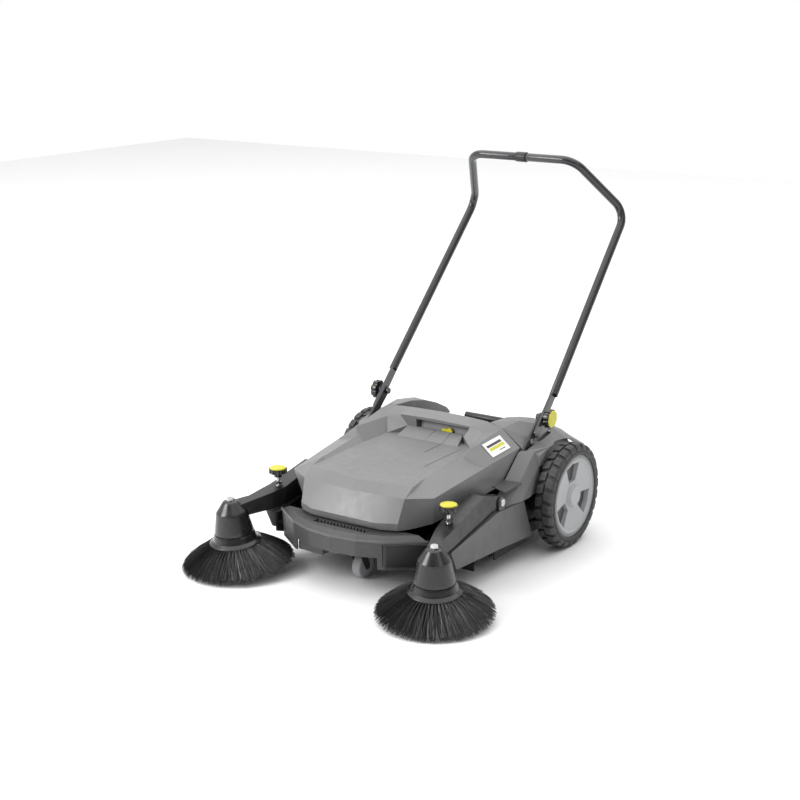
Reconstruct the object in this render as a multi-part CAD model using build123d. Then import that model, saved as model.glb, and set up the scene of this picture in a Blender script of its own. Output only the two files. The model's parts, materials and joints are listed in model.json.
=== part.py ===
from build123d import *
import math
import os

# Walk-behind push sweeper with two side brushes, in millimetres.
# +Z is up, the machine drives towards -Y, and the push handle is at +Y.
# The origin is on the floor under the middle of the whole machine.

# ---- driving dimensions -------------------------------------------------
# Lengths along Y are drawn from a datum plane just behind the hood's rear edge,
# and MIDDLE_Y moves the finished pieces so that the origin is at mid length.
MIDDLE_Y = 10.7
WHEEL_RADIUS = 147.6          # rear drive wheel, over the tread
WHEEL_OUTER_X = 361.0         # outside face of a drive wheel
WHEEL_WIDTH = 56.0
RIM_RADIUS = 116.0
AXLE_Y = 170.0                # drive axle line
AXLE_Z = WHEEL_RADIUS
AXLE_RADIUS = 10.0

ROLLER_RADIUS = 124.5         # main sweeping roller over its bristles
ROLLER_HALF = 228.0
ROLLER_Y = -40.0
ROLLER_Z = 125.0
ROLLER_SHAFT_RADIUS = 8.0
ROLLER_STRIPS = 8             # rows of bristles round the roller
STRIP_WIDTH = 14.0
ROLLER_CORE_RADIUS = 46.0
WHEEL_PULLEY_RADIUS = 60.0
ROLLER_PULLEY_RADIUS = 30.0
BELT_X = (270.0, 282.0)
BELT_THICKNESS = 4.0

WALL_X = (252.0, 258.0)       # chassis side plates
STRAP_X = (258.0, 264.0)      # handle straps, bolted outside the plates
BAR_X = (264.3, 272.3)        # flattened feet of the push handle
TAIL_REACH = 65.0                        # end of the bar below the pivot
ARM_PLATE_X = (240.0, 247.0)  # cheeks of the roller carrier

HANDLE_PIVOT_Y = 139.4        # clamp bolts of the push handle
HANDLE_PIVOT_Z = 368.3
TUBE_RADIUS = 12.0
TUBE_FOOT = (270.4, 192.0, 421.2)
TUBE_BEND = (257.5, 631.1, 874.6)
TUBE_CORNER = (170.8, 464.6, 1038.0)
CLAMP_BOLT_RADIUS = 5.0

BRUSH_CENTRE = (317.0, -485.2, 17.3)   # centre of the circle of bristle tips
BRUSH_TILT_FORWARD = 5.5
BRUSH_TILT_OUT = 2.6
BRUSH_TIP_RADIUS = 158.0

LIFT_Y = -125.0               # hinge pins of the side-brush arms
LIFT_Z = 201.0
LIFT_PIN_RADIUS = 6.0

CASTER_RADIUS = 33.5
CASTER_Y = -350.0
SWIVEL_Y = -378.0

SELECTOR = (44.0, 8.0, 324.0)          # front of the height selector in the grip pocket
SELECTOR_PIN = 4.0

CLEAR = 0.05                  # radial running clearance
SKIN = 4.0                    # wall of the rear housings

PARTS = {}


# ---- small helpers ------------------------------------------------------
def slab_x(points, x0, x1):
    """A plate with an outline in Y and Z, from x0 to x1."""
    face = make_face(Plane.YZ.offset(x0) * Polyline(*points, close=True))
    return extrude(face, amount=x1 - x0, dir=(1, 0, 0))


def slab_z(points, z0, z1):
    """A plate with an outline in X and Y, from z0 to z1."""
    face = make_face(Plane.XY.offset(z0) * Polyline(*points, close=True))
    return extrude(face, amount=z1 - z0, dir=(0, 0, 1))


def block(x, y, z):
    """A box from three (low, high) pairs."""
    size = (x[1] - x[0], y[1] - y[0], z[1] - z[0])
    centre = ((x[0] + x[1]) / 2, (y[0] + y[1]) / 2, (z[0] + z[1]) / 2)
    return Pos(*centre) * Box(*size)


def rod_x(y, z, radius, x0, x1):
    """A round rod along X."""
    return Pos((x0 + x1) / 2, y, z) * Rot(0, 90, 0) * Cylinder(radius, x1 - x0)


def rod_y(x, z, radius, y0, y1):
    """A round rod along Y."""
    return Pos(x, (y0 + y1) / 2, z) * Rot(90, 0, 0) * Cylinder(radius, y1 - y0)


def rod_z(x, y, radius, z0, z1):
    """A round rod along Z."""
    return Pos(x, y, (z0 + z1) / 2) * Cylinder(radius, z1 - z0)


def turned(points):
    """A turned solid about Z from its (radius, height) half outline."""
    face = make_face(Plane.XZ * Polyline(*points, close=True))
    return revolve(face, Axis.Z)


def turned_x(points, y, z):
    """A turned solid about the X line at (y, z) from (radius, x) points."""
    return Pos(0, y, z) * Rot(0, 90, 0) * turned(points)


def both_sides(name, right):
    """Store a right-hand piece and its mirror image."""
    PARTS[name + "_right"] = right
    PARTS[name + "_left"] = mirror(right, about=Plane.YZ)


def halves(right_points):
    """Closed outline from the points of its right half, front to rear."""
    left = [(-x, y, z) for x, y, z in reversed(right_points) if x > 0]
    return list(right_points) + left


def skinned(lower, upper):
    """Solid with flat facets between two flat outlines with the same number of points."""
    faces = [Face(Wire.make_polygon(ring, close=True)) for ring in (lower, upper)]
    for index, low in enumerate(lower):
        after = (index + 1) % len(lower)
        for corners in ((low, lower[after], upper[after]), (low, upper[after], upper[index])):
            faces.append(Face(Wire.make_polygon(corners, close=True)))
    return Part() + Solid(Shell(faces))


def star_disc(radius, lobes, depth, thickness):
    """Grip disc with scallops round its edge, standing on the XY plane."""
    disc = Pos(0, 0, thickness / 2) * Cylinder(radius, thickness)
    bite = radius * math.pi / lobes * 0.5
    for step in range(lobes):
        turn = Rot(0, 0, 360 / lobes * step)
        disc -= turn * Pos(radius + bite - depth, 0, thickness / 2) * Cylinder(bite, thickness * 2)
    return disc


# ---- rear drive wheels --------------------------------------------------
def drive_wheel():
    x1 = WHEEL_OUTER_X
    x0 = x1 - WHEEL_WIDTH
    tread = WHEEL_RADIUS
    tyre = turned_x([(RIM_RADIUS, x0 + 3), (RIM_RADIUS + 8, x0), (tread - 9, x0), (tread, x0 + 9),
                     (tread, x1 - 9), (tread - 9, x1), (RIM_RADIUS + 8, x1), (RIM_RADIUS, x1 - 3)],
                    AXLE_Y, AXLE_Z)
    bore = AXLE_RADIUS + CLEAR
    rim = turned_x([(bore, x0 - 2), (26, x0 - 2), (30, x0 + 14), (100, x0 + 20), (104, x0 + 6),
                    (RIM_RADIUS, x0 + 6), (RIM_RADIUS, x1 - 5), (104, x1 - 3), (98, x1 - 8),
                    (34, x1 - 12), (30, x1 - 4), (16, x1 - 4), (16, x1 - 12), (bore, x1 - 12)],
                   AXLE_Y, AXLE_Z)
    for angle in (95, 215, 335):
        centre = Pos(x1 - 8, AXLE_Y, AXLE_Z) * Rot(angle, 0, 0) * Pos(0, 68, 0)
        outline = [(-27, -17), (20, -36), (27, 0), (20, 36), (-27, 17)]
        window = make_face(Polyline(*[(-16, y, z) for y, z in outline], close=True))
        rim -= centre * extrude(window, amount=30, dir=(1, 0, 0))
    cap = turned_x([(0, x1 - 8), (14, x1 - 8), (14, x1 - 4), (29, x1 - 4), (27, x1 - 0.5), (0, x1 - 0.5)],
                   AXLE_Y, AXLE_Z)
    axle = rod_x(AXLE_Y, AXLE_Z, AXLE_RADIUS, 238, x1 - 14)
    axle += rod_x(AXLE_Y, AXLE_Z, 17, 258, 264)
    both_sides("tyre", tyre)
    both_sides("rim", rim)
    both_sides("hub_cap", cap)
    both_sides("axle_stub", axle)
    pulley = turned_x([(bore, 266), (WHEEL_PULLEY_RADIUS + 5, 266), (WHEEL_PULLEY_RADIUS + 5, 269),
                       (WHEEL_PULLEY_RADIUS, 269.5), (WHEEL_PULLEY_RADIUS, 282.5),
                       (WHEEL_PULLEY_RADIUS + 5, 283), (WHEEL_PULLEY_RADIUS + 5, 286),
                       (24, 286), (24, x0 - 2), (bore, x0 - 2)], AXLE_Y, AXLE_Z)
    PARTS["wheel_pulley"] = pulley


# ---- main roller, its carrier and its belt ------------------------------
def hull_plate(circles, x0, x1):
    """Plate round a chain of circles (y, z, radius), joined by straight bands."""
    plate = None
    for index, (y, z, radius) in enumerate(circles):
        disc = rod_x(y, z, radius, x0, x1)
        plate = disc if plate is None else plate + disc
        y2, z2, radius2 = circles[(index + 1) % len(circles)]
        length = math.hypot(y2 - y, z2 - z)
        along = ((y2 - y) / length, (z2 - z) / length)
        lean = (radius - radius2) / length
        edge = []
        for side in (1, -1):
            cosine = math.sqrt(1 - lean * lean)
            ny = along[0] * lean - side * along[1] * cosine
            nz = along[1] * lean + side * along[0] * cosine
            edge.append(((y + ny * radius, z + nz * radius), (y2 + ny * radius2, z2 + nz * radius2)))
        plate += slab_x([edge[0][0], edge[0][1], edge[1][1], edge[1][0]], x0, x1)
    return plate


def main_roller():
    cross = (60.0, 226.0, 11.0)
    cheek = hull_plate([(AXLE_Y, AXLE_Z, 22), (ROLLER_Y, ROLLER_Z, 24), cross], *ARM_PLATE_X)
    cheek -= rod_x(AXLE_Y, AXLE_Z, AXLE_RADIUS + CLEAR, 230, 260)
    cheek -= rod_x(ROLLER_Y, ROLLER_Z, 16, 230, 260)
    tie = rod_x(cross[0], cross[1], 9, -ARM_PLATE_X[0], ARM_PLATE_X[0])
    PARTS["roller_carrier"] = cheek + mirror(cheek, about=Plane.YZ) + tie
    ring = turned_x([(ROLLER_SHAFT_RADIUS + CLEAR, 239), (16, 239), (16, 247.5),
                     (ROLLER_SHAFT_RADIUS + CLEAR, 247.5)], ROLLER_Y, ROLLER_Z)
    PARTS["roller_bearings"] = ring + mirror(ring, about=Plane.YZ)
    half = ROLLER_HALF
    tube = rod_x(ROLLER_Y, ROLLER_Z, ROLLER_CORE_RADIUS, -half - 3, half + 3)
    core = tube - rod_x(ROLLER_Y, ROLLER_Z, ROLLER_CORE_RADIUS - 4, -half + 3, half - 3)
    core += rod_x(ROLLER_Y, ROLLER_Z, ROLLER_SHAFT_RADIUS, -250, 290)
    PARTS["roller_core"] = core
    strips = None
    for step in range(ROLLER_STRIPS):
        turn = Pos(0, ROLLER_Y, ROLLER_Z) * Rot(360 / ROLLER_STRIPS * step, 0, 0)
        strip = turn * block((-half, half), (-STRIP_WIDTH / 2, STRIP_WIDTH / 2),
                             (ROLLER_CORE_RADIUS - 2, ROLLER_RADIUS - 0.2)) - tube
        strips = strip if strips is None else strips + strip
    PARTS["roller_bristles"] = strips
    small = ROLLER_PULLEY_RADIUS
    PARTS["roller_pulley"] = turned_x([(ROLLER_SHAFT_RADIUS, 266), (small + 4, 266), (small + 4, 269),
                                       (small, 269.5), (small, 282.5), (small + 4, 283),
                                       (small + 4, 286), (ROLLER_SHAFT_RADIUS, 286)],
                                      ROLLER_Y, ROLLER_Z)
    gap = 0.3
    ends = [(AXLE_Y, AXLE_Z, WHEEL_PULLEY_RADIUS + gap), (ROLLER_Y, ROLLER_Z, small + gap)]
    outer = hull_plate([(y, z, r + BELT_THICKNESS) for y, z, r in ends], *BELT_X)
    PARTS["drive_belt"] = outer - hull_plate(ends, BELT_X[0] - 1, BELT_X[1] + 1)


# ---- chassis ------------------------------------------------------------
def chassis():
    x0, x1 = WALL_X
    wall = slab_x([(-394, 92), (-300, 60), (-150, 46), (335, 36), (335, 60), (322, 246), (298, 272),
                   (250, 297), (195, 314), (116, 316), (75, 308), (45, 292), (38, 215), (-20, 200),
                   (-60, 166), (-200, 146), (-394, 146)], x0, x1)
    wall -= slab_x([(ROLLER_Y - 12, 112), (ROLLER_Y + 12, 112), (ROLLER_Y + 12, 152),
                    (ROLLER_Y - 12, 152)], x0 - 1, x1 + 1)
    wall -= rod_x(AXLE_Y, AXLE_Z, AXLE_RADIUS, x0 - 1, x1 + 1)
    rail = block((214, x0), (95, 330), (36.5, 41.5))
    side = wall + rail
    frame = side + mirror(side, about=Plane.YZ)
    frame += block((-x0, x0), (-182, -176), (60, 166))
    frame += block((-x0, x0), (-394, -182), (116.5, 121))
    frame += block((-190, 190), (-410, -394), (116.5, 121))
    frame += block((-220, 220), (-394, -388), (121, 158))
    frame += block((-x0, x0), (29, 232), (266, 270))
    frame += block((-246, 246), (29, 33), (270, 299.5))
    PARTS["chassis_frame"] = frame


# Front bumper: right half of the ridge outline, and how the ledge draws in.
BUMPER_EDGE = [(0, -496), (75, -488), (146, -459), (238, -392), (244, -345), (244, -300)]
RIDGE_Z = 161.0
LEDGE_Z = 173.0
SKIRT_Z = 84.0


def bumper_ring(inset, z):
    points = []
    for x, y in BUMPER_EDGE:
        shrink = 1 - inset / 244.0
        points.append((x * shrink, (y + 300) * (1 - inset / 196.0) - 300, z))
    return halves(points)


def front_bumper():
    skirt = skinned(bumper_ring(3, SKIRT_Z), bumper_ring(0, RIDGE_Z))
    ledge = skinned(bumper_ring(0, RIDGE_Z), bumper_ring(16, LEDGE_Z))
    body = skirt + ledge
    hollow = skinned(bumper_ring(9, SKIRT_Z - 1), bumper_ring(6, LEDGE_Z - 8))
    body -= hollow
    body -= block((-250, 250), (-394.5, -290), (70, 180))
    body -= block((-134, 127), (-520, -380), (70, 116))
    body -= block((-84, 84), (-456, -432), (140, 180))
    core = skinned(bumper_ring(4, SKIRT_Z - 4), bumper_ring(4, RIDGE_Z))
    body -= block((140, 260), (-520, -340), (92, 153)) - core
    PARTS["front_bumper"] = body
    PARTS["skirt_block"] = slab_z([(-136, -452), (-51, -458), (-51, -400), (-136, -400)], 84, 115.5)
    strip = skinned(bumper_ring(-2.5, RIDGE_Z - 3), bumper_ring(-2.5, RIDGE_Z + 3)) \
        - skinned(bumper_ring(0.2, RIDGE_Z - 5), bumper_ring(0.2, RIDGE_Z + 5))
    PARTS["bumper_strip"] = (strip & block((-245, 245), (-510, -395), (150, 170))) - body


# ---- hood ---------------------------------------------------------------
# Corners of the right half of the hood, foot to crown, and of the tray and grip pocket in its top.
HOOD = {
    "F0": (0, -429, 177), "F1": (110, -425, 177), "F2": (152, -410, 177.5), "F3": (176, -386, 180),
    "F4": (211, -331, 186), "F5": (252, -58, 222), "W0": (0, -437, 198), "W1": (102, -437, 198),
    "W2": (155, -411, 198), "S0": (0, -402, 259), "S1": (98, -393, 259), "S2": (161, -388, 260),
    "S3": (226, -350, 263), "S4": (241, -130, 287.6), "S5": (255, 35, 305.3), "T0": (0, -377, 283),
    "T2": (111, -358, 283), "T3": (163, -353, 283), "T4": (166, -300, 294), "T5": (176, -130, 308),
    "N": (190, -115, 330), "C": (161, 1.4, 338), "B1": (117, 1.4, 351), "B0": (0, 1.4, 354),
    "R0": (0, 35, 369), "R1": (198, 35, 352), "R2": (150, 35, 364), "R3": (95, 35, 367),
    "G4": (158, -300, 287), "G5": (150, -130, 296), "G6": (138, -33, 301), "G7": (91, 4, 301),
    "P": (100, -38, 301), "P0": (0, -38, 301), "Q": (91, 3, 322), "Q0": (0, 3, 322),
    "M0": (0, 35, 305.3),
}
HOOD_INSIDE = {
    "F0": (0, -425, 177), "F1": (106, -421, 177), "F2": (148, -406, 177.5), "F3": (172, -382, 180),
    "F4": (207, -327, 186), "F5": (248, -58, 218), "W0": (0, -433, 198), "W1": (100, -433, 198),
    "W2": (152, -407, 198), "S0": (0, -398, 256), "S1": (97, -389, 256), "S2": (159, -384, 257),
    "S3": (222, -346, 260), "S4": (237, -130, 284), "S5": (251, 31, 300.5), "T0": (0, -375, 278.5),
    "T2": (110, -356, 278.5), "T3": (164, -350, 278.5), "T4": (170, -300, 289), "T5": (180, -128, 303),
    "N": (194, -112, 324), "C": (168, 2, 331), "R1": (194, 31, 346), "R2": (168, 31, 350),
    "G4": (162, -300, 282), "G5": (155, -130, 291), "G6": (144, -33, 296), "K": (144, 31, 303),
    "M0": (0, 31, 300.5),
}
COMMON_FACES = ["F0 F1 W1 W0", "F1 F2 W2 W1", "W0 W1 S1 S0", "W1 W2 S2 S1", "W2 F2 F3 F4 S3 S2",
                "F4 F5 S5 S4 S3", "S0 S1 T2 T0", "S1 S2 T3 T2", "S2 S3 T4 T3", "S3 S4 T5 T4", "S4 N T5",
                "S4 S5 R1 N", "N R1 C", "R1 R2 C", "T3 T4 G4", "T4 T5 G5 G4", "T5 N G5", "N C G6 G5"]
OUTSIDE_FACES = ["C R2 R3 B1", "B1 R3 R0 B0", "G6 C B1 Q", "G6 Q G7", "Q B1 B0 Q0", "P Q Q0 P0", "P G7 Q",
                 "T0 T2 T3 G4 G5 P0", "G5 G6 P P0", "P G6 G7", "S5 M0 R0 R3 R2 R1"]
INSIDE_FACES = ["C R2 K G6", "T0 T2 T3 G4 G5 M0", "G5 G6 K M0", "S5 K R2 R1", "S5 M0 K"]
HOOD_EDGE = ["F0", "F1", "F2", "F3", "F4", "F5", "S5", "M0"]
POCKET_X = (-62.0, 112.0)     # ends of the grip opening under the hood's rear bar


def facets(corners, faces):
    """Triangles, right and left, from named corners of the right half and the faces between them."""
    made = []
    for face in faces:
        names = face.split()
        for second, third in zip(names[1:], names[2:]):
            points = [corners[name] for name in (names[0], second, third)]
            for sign in (1, -1):
                ring = [(sign * x, y, z) for x, y, z in points]
                made.append(Face(Wire.make_polygon(ring, close=True)))
    return made


def hood():
    rim = {name + "out": HOOD[name] for name in HOOD_EDGE}
    rim |= {name + "in": HOOD_INSIDE[name] for name in HOOD_EDGE}
    band = [f"{one}out {two}out {two}in {one}in" for one, two in zip(HOOD_EDGE, HOOD_EDGE[1:])]
    skin = facets(HOOD, COMMON_FACES + OUTSIDE_FACES) + facets(HOOD_INSIDE, COMMON_FACES + INSIDE_FACES)
    body = Part() + Solid(Shell(skin + facets(rim, band)))
    pocket = slab_x([(-1, 322), (-1, 345), (24, 345), (14, 314), (7, 314), (7, 322)], *POCKET_X)
    body -= pocket
    body -= rod_y(SELECTOR[0], SELECTOR[2], SELECTOR_PIN + CLEAR, 10, 30)
    PARTS["hood"] = body
    # Plate on the sloping side of the hood.
    low, high = (249.0, -35.0, 297.8), (195.5, -35.0, 342.2)
    across = Vector(*high) - Vector(*low)
    along = Vector(14, 165, 17.7)
    middle = Vector(*low) + across * 0.52
    seat = Plane(origin=middle, x_dir=along, z_dir=along.cross(across))
    PARTS["label_plate"] = seat * Pos(0, 0, 1.2) * Box(82, 46, 1.2)


# ---- side covers and rear housings --------------------------------------
def side_pod():
    outline = [(-385, 141), (-358, 87), (-150, 76), (33, 62), (-15, 175), (-153, 181)]
    inside = [(-378, 138), (-354, 92), (-150, 80.5), (27, 67), (-18, 171), (-152, 177)]
    pod = slab_x(outline, WALL_X[1], 300) - slab_x(inside, WALL_X[1] - 1, 296)
    pod -= slab_x([(-45, 84), (60, 84), (60, 172), (-45, 172)], 262, 290)
    for x0 in (259, 291):
        lug = rod_x(LIFT_Y, LIFT_Z, 14, x0, x0 + 5)
        lug += slab_x([(LIFT_Y - 14, 178), (LIFT_Y + 14, 178), (LIFT_Y + 14, LIFT_Z),
                       (LIFT_Y - 14, LIFT_Z)], x0, x0 + 5)
        pod += lug - rod_x(LIFT_Y, LIFT_Z, LIFT_PIN_RADIUS, x0 - 1, x0 + 6)
    both_sides("side_pod", pod)
    lid = skinned([(256, -113, 233), (256, 0, 233), (296, 0, 223), (296, -113, 223)],
                  [(256, -113, 237), (256, 0, 237), (296, 0, 227), (296, -113, 227)])
    both_sides("pivot_cover", lid)
    pin = rod_x(LIFT_Y, LIFT_Z, LIFT_PIN_RADIUS, 259, 296)
    pin += rod_x(LIFT_Y, LIFT_Z, 10, 296, 299)
    PARTS["arm_pins"] = pin + mirror(pin, about=Plane.YZ)


def housing_sections(skin):
    """Roof outlines of the right rear housing at four widths, drawn in by a skin."""
    profiles = [
        (160, [(36.5, 362), (124, 356), (200, 340), (262, 318), (318, 291), (347, 262)]),
        (200, [(36.5, 351), (124, 352), (200, 343), (262, 320), (316, 290), (345, 260)]),
        (262, [(44, 298), (110, 311), (200, 328), (258, 306), (308, 277), (335, 256)]),
        (304, [(60, 284), (114, 296), (198, 301), (246, 289), (290, 266), (320, 254)]),
    ]
    sections = []
    for x, roof in profiles:
        x += skin if x == 160 else (-skin if x == 304 else 0)
        front, rear = roof[0][0] + skin, roof[-1][0] - skin
        ring = [(x, min(max(y, front), rear), z - skin) for y, z in roof]
        ring += [(x, rear, 250 - skin * 3), (x, front, 250 - skin * 3)]
        sections.append(ring)
    return sections


def rear_housing():
    outer = housing_sections(0)
    inner = housing_sections(SKIN)
    roof = skinned(outer[0], outer[1]) + skinned(outer[1], outer[2]) + skinned(outer[2], outer[3])
    void = skinned(inner[0], inner[1]) + skinned(inner[1], inner[2]) + skinned(inner[2], inner[3])
    shell = roof - void
    shell -= block((100, 259), (0, 400), (200, 271))
    post = []
    for z in (178, 296):
        lean = (z - 262) * 1.18
        post.append([(258.5, -18 + lean, z), (290, 17 + lean, z), (302, 66 + lean, z), (302, 112, z),
                     (258.5, 112, z)])
    pillar = skinned(*post) - block((250, 292), (-4, 260), (170, 216))
    pillar -= block((250, 310), (70, 260), (170, 250))
    body = shell + pillar
    body -= rod_x(AXLE_Y, AXLE_Z, WHEEL_RADIUS + 6, 298, 345)
    body -= hull_plate([(HANDLE_PIVOT_Y, HANDLE_PIVOT_Z, 14.5), (15, 258, 14.5)], *STRAP_X)
    body -= slab_x([(20, 280), (20, 255), (60, 270), (90, 290), (90, 318), (60, 305)],
                   STRAP_X[1], STRAP_X[1] + 5)
    body -= slab_x([(36, 100), (336, 100), (322, 250), (298, 276), (250, 300), (195, 316.5), (116, 317),
                    (75, 309), (44, 293), (36, 262)], *WALL_X)
    body -= rod_x(HANDLE_PIVOT_Y, HANDLE_PIVOT_Z, TAIL_REACH + 2, BAR_X[0] - 0.8, BAR_X[1] + 0.8)
    body -= PARTS["side_pod_right"]
    both_sides("rear_housing", body)
    lid = PARTS["pivot_cover_right"] - pillar - block((250, 300), (-20, 10), (200, 260))
    both_sides("pivot_cover", lid)


def handle_straps():
    strap = hull_plate([(HANDLE_PIVOT_Y, HANDLE_PIVOT_Z, 13), (15, 258, 13)], *STRAP_X)
    strap -= rod_x(HANDLE_PIVOT_Y, HANDLE_PIVOT_Z, CLAMP_BOLT_RADIUS + CLEAR, 250, 270)
    both_sides("handle_strap", strap)
    heads = None
    for y in (48, 80):
        z = HANDLE_PIVOT_Z + (y - HANDLE_PIVOT_Y) * (HANDLE_PIVOT_Z - 258) / (HANDLE_PIVOT_Y - 15) - 2
        head = rod_x(y, z, 7, STRAP_X[1], STRAP_X[1] + 4)
        heads = head if heads is None else heads + head
    PARTS["strap_bolts"] = heads + mirror(heads, about=Plane.YZ)


# ---- push handle --------------------------------------------------------
def push_handle():
    foot, bend, corner = TUBE_FOOT, TUBE_BEND, TUBE_CORNER
    middle = (0.2, corner[1], corner[2])
    path = FilletPolyline(foot, bend, corner, middle, radius=[50, 57])
    plane = Plane(origin=foot, z_dir=path % 0)
    ring = plane * (Circle(TUBE_RADIUS) - Circle(TUBE_RADIUS - 2))
    tube = sweep(ring, path=path)
    pitch = math.atan2(foot[2] - HANDLE_PIVOT_Z, foot[1] - HANDLE_PIVOT_Y)
    low_y = HANDLE_PIVOT_Y - (TAIL_REACH - 13) * math.cos(pitch)
    low_z = HANDLE_PIVOT_Z - (TAIL_REACH - 13) * math.sin(pitch)
    high_y = foot[1] + 26 * math.cos(pitch)
    high_z = foot[2] + 26 * math.sin(pitch)
    bar = hull_plate([(low_y, low_z, 13), (high_y, high_z, 11)], *BAR_X)
    bar -= rod_x(HANDLE_PIVOT_Y, HANDLE_PIVOT_Z, CLAMP_BOLT_RADIUS + CLEAR, 250, 280)
    both_sides("handle_tube", tube + bar)
    sleeve = rod_x(corner[1], corner[2], TUBE_RADIUS + 2.5, -17, 17)
    sleeve -= rod_x(corner[1], corner[2], TUBE_RADIUS, -18, 18)
    PARTS["handle_sleeve"] = sleeve
    y, z = HANDLE_PIVOT_Y, HANDLE_PIVOT_Z
    grip = Pos(281, y, z) * Rot(0, 90, 0) * star_disc(27, 8, 4, 16)
    knob = rod_x(y, z, 13, 273, 281.5) + grip + rod_x(y, z, CLAMP_BOLT_RADIUS, 252, 275)
    knob += rod_x(y, z, 9, 249, 257.5)
    both_sides("clamp_knob", knob)
    both_sides("clamp_cap", rod_x(y, z, 23.5, 297, 299.5))


# ---- side brushes -------------------------------------------------------
def on_brush(shape):
    """Moves a piece drawn about Z from height 0 onto the right brush axis."""
    return Pos(*BRUSH_CENTRE) * Rot(BRUSH_TILT_FORWARD, 0, 0) * Rot(0, BRUSH_TILT_OUT, 0) * shape


def side_brush():
    tip = BRUSH_TIP_RADIUS
    bristles = turned([(18, 44), (34, 44), (120, 0), (tip, 0), (tip, 16), (70, 62), (18, 62)])
    plate = turned([(9, 62), (70, 62), (70, 65), (60, 72), (54, 90), (9, 90)])
    shaft = turned([(0, 50), (9, 50), (9, 130), (0, 130)])
    both_sides("brush_bristles", on_brush(bristles))
    both_sides("brush_plate", on_brush(plate + shaft))
    head = turned([(9 + CLEAR, 92), (53, 92), (42, 150), (21, 178), (14, 181), (0, 181), (0, 132),
                   (9 + CLEAR, 132)])
    both_sides("brush_head", on_brush(head))
    bolt = Pos(0, 0, 184.5) * extrude(RegularPolygon(11, 6), amount=3.5, both=True)
    both_sides("head_bolt", on_brush(bolt))
    plan = [(300, -505), (262, -400), (251, -355), (251, -215), (265, -163), (265, -100), (290, -100),
            (290, -163), (296, -268), (303, -358), (312, -440), (350, -500), (325, -515)]
    side = [(-515, 152), (-385, 156), (-165, 185), (LIFT_Y, LIFT_Z - 17), (LIFT_Y + 12, LIFT_Z - 14),
            (LIFT_Y + 18, LIFT_Z), (LIFT_Y + 12, LIFT_Z + 14), (LIFT_Y, LIFT_Z + 18.5), (-163, 228),
            (-214, 243), (-360, 208), (-515, 184)]
    arm = slab_z(plan, 140, 250) & slab_x(side, 240, 360)
    arm -= on_brush(turned([(0, 80), (54, 80), (53.2, 92), (42.2, 150), (21, 178.4), (21, 195), (0, 195)]))
    arm -= rod_x(LIFT_Y, LIFT_Z, LIFT_PIN_RADIUS + CLEAR, 240, 320)
    arm -= rod_z(275, -358, 5 + CLEAR, 175, 230)
    both_sides("side_arm", arm)
    grip = Pos(275, -358, 245) * star_disc(25, 10, 3.5, 12)
    knob = rod_z(275, -358, 5, 178, 246) + rod_z(275, -358, 11, 216, 220)
    knob += rod_z(275, -358, 11, 234, 246) + grip
    both_sides("lift_knob", knob)
    both_sides("lift_cap", rod_z(275, -358, 22, 257, 261))


# ---- caster, selector and dirt container --------------------------------
def caster():
    plate = block((-28, 28), (-408, -350), (108, 116.5)) - rod_z(0, SWIVEL_Y, 6 + CLEAR, 100, 120)
    PARTS["caster_plate"] = plate
    cheek = hull_plate([(SWIVEL_Y, 92, 14), (CASTER_Y, CASTER_RADIUS, 9)], 15, 18)
    fork = cheek + mirror(cheek, about=Plane.YZ) + rod_z(0, SWIVEL_Y, 18, 98, 103)
    fork += block((-18, 18), (-390, -364), (98, 103))
    fork += rod_z(0, SWIVEL_Y, 6, 100, 116)
    fork += rod_x(CASTER_Y, CASTER_RADIUS, 4, -20, 20)
    PARTS["caster_fork"] = fork
    PARTS["caster_wheel"] = turned_x([(4 + CLEAR, -13.5), (CASTER_RADIUS - 3, -13.5), (CASTER_RADIUS, -10.5),
                                      (CASTER_RADIUS, 10.5), (CASTER_RADIUS - 3, 13.5), (4 + CLEAR, 13.5)],
                                     CASTER_Y, CASTER_RADIUS)


def selector():
    x, y, z = SELECTOR
    knob = rod_y(x, z, 9, y, y + 5.8)
    knob += block((x - 24, x), (y, y + 5), (z - 5, z + 5))
    knob += rod_y(x, z, SELECTOR_PIN, y + 5.8, 29)
    PARTS["selector_knob"] = knob


def container():
    outer = block((-226, 226), (95, 345), (42, 262))
    inner = block((-223, 223), (98, 342), (45, 259))
    tub = outer - inner
    tub -= block((-215, 215), (90, 225), (90, 270))
    PARTS["container"] = tub
    grip = rod_x(270, 293, 11, -62, 62)
    for x in (-50, 50):
        grip += rod_z(x, 270, 9, 262, 292)
    PARTS["container_grip"] = grip


def seals():
    side = slab_x([(-150, 44), (22, 44), (22, 62.5), (-150, 75.5)], 285, 289)
    front = block((-240, 240), (-175.5, -172.5), (10, 150))
    PARTS["floor_seals"] = side + mirror(side, about=Plane.YZ) + front


if __name__ == "__main__":
    os.makedirs("parts", exist_ok=True)
    drive_wheel()
    main_roller()
    chassis()
    front_bumper()
    hood()
    side_pod()
    rear_housing()
    handle_straps()
    push_handle()
    side_brush()
    caster()
    selector()
    container()
    seals()
    for name, shape in PARTS.items():
        placed = Pos(0, MIDDLE_Y, 0) * shape
        print(name, round(placed.volume / 1000, 1), placed.is_valid, len(placed.solids()))
        export_step(placed, os.path.join("parts", name + ".step"))
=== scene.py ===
import json
import logging
import math
import random
from dataclasses import dataclass, field
from enum import Enum
from typing import Sequence

import bmesh
import bpy
from mathutils import Matrix, Vector


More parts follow.
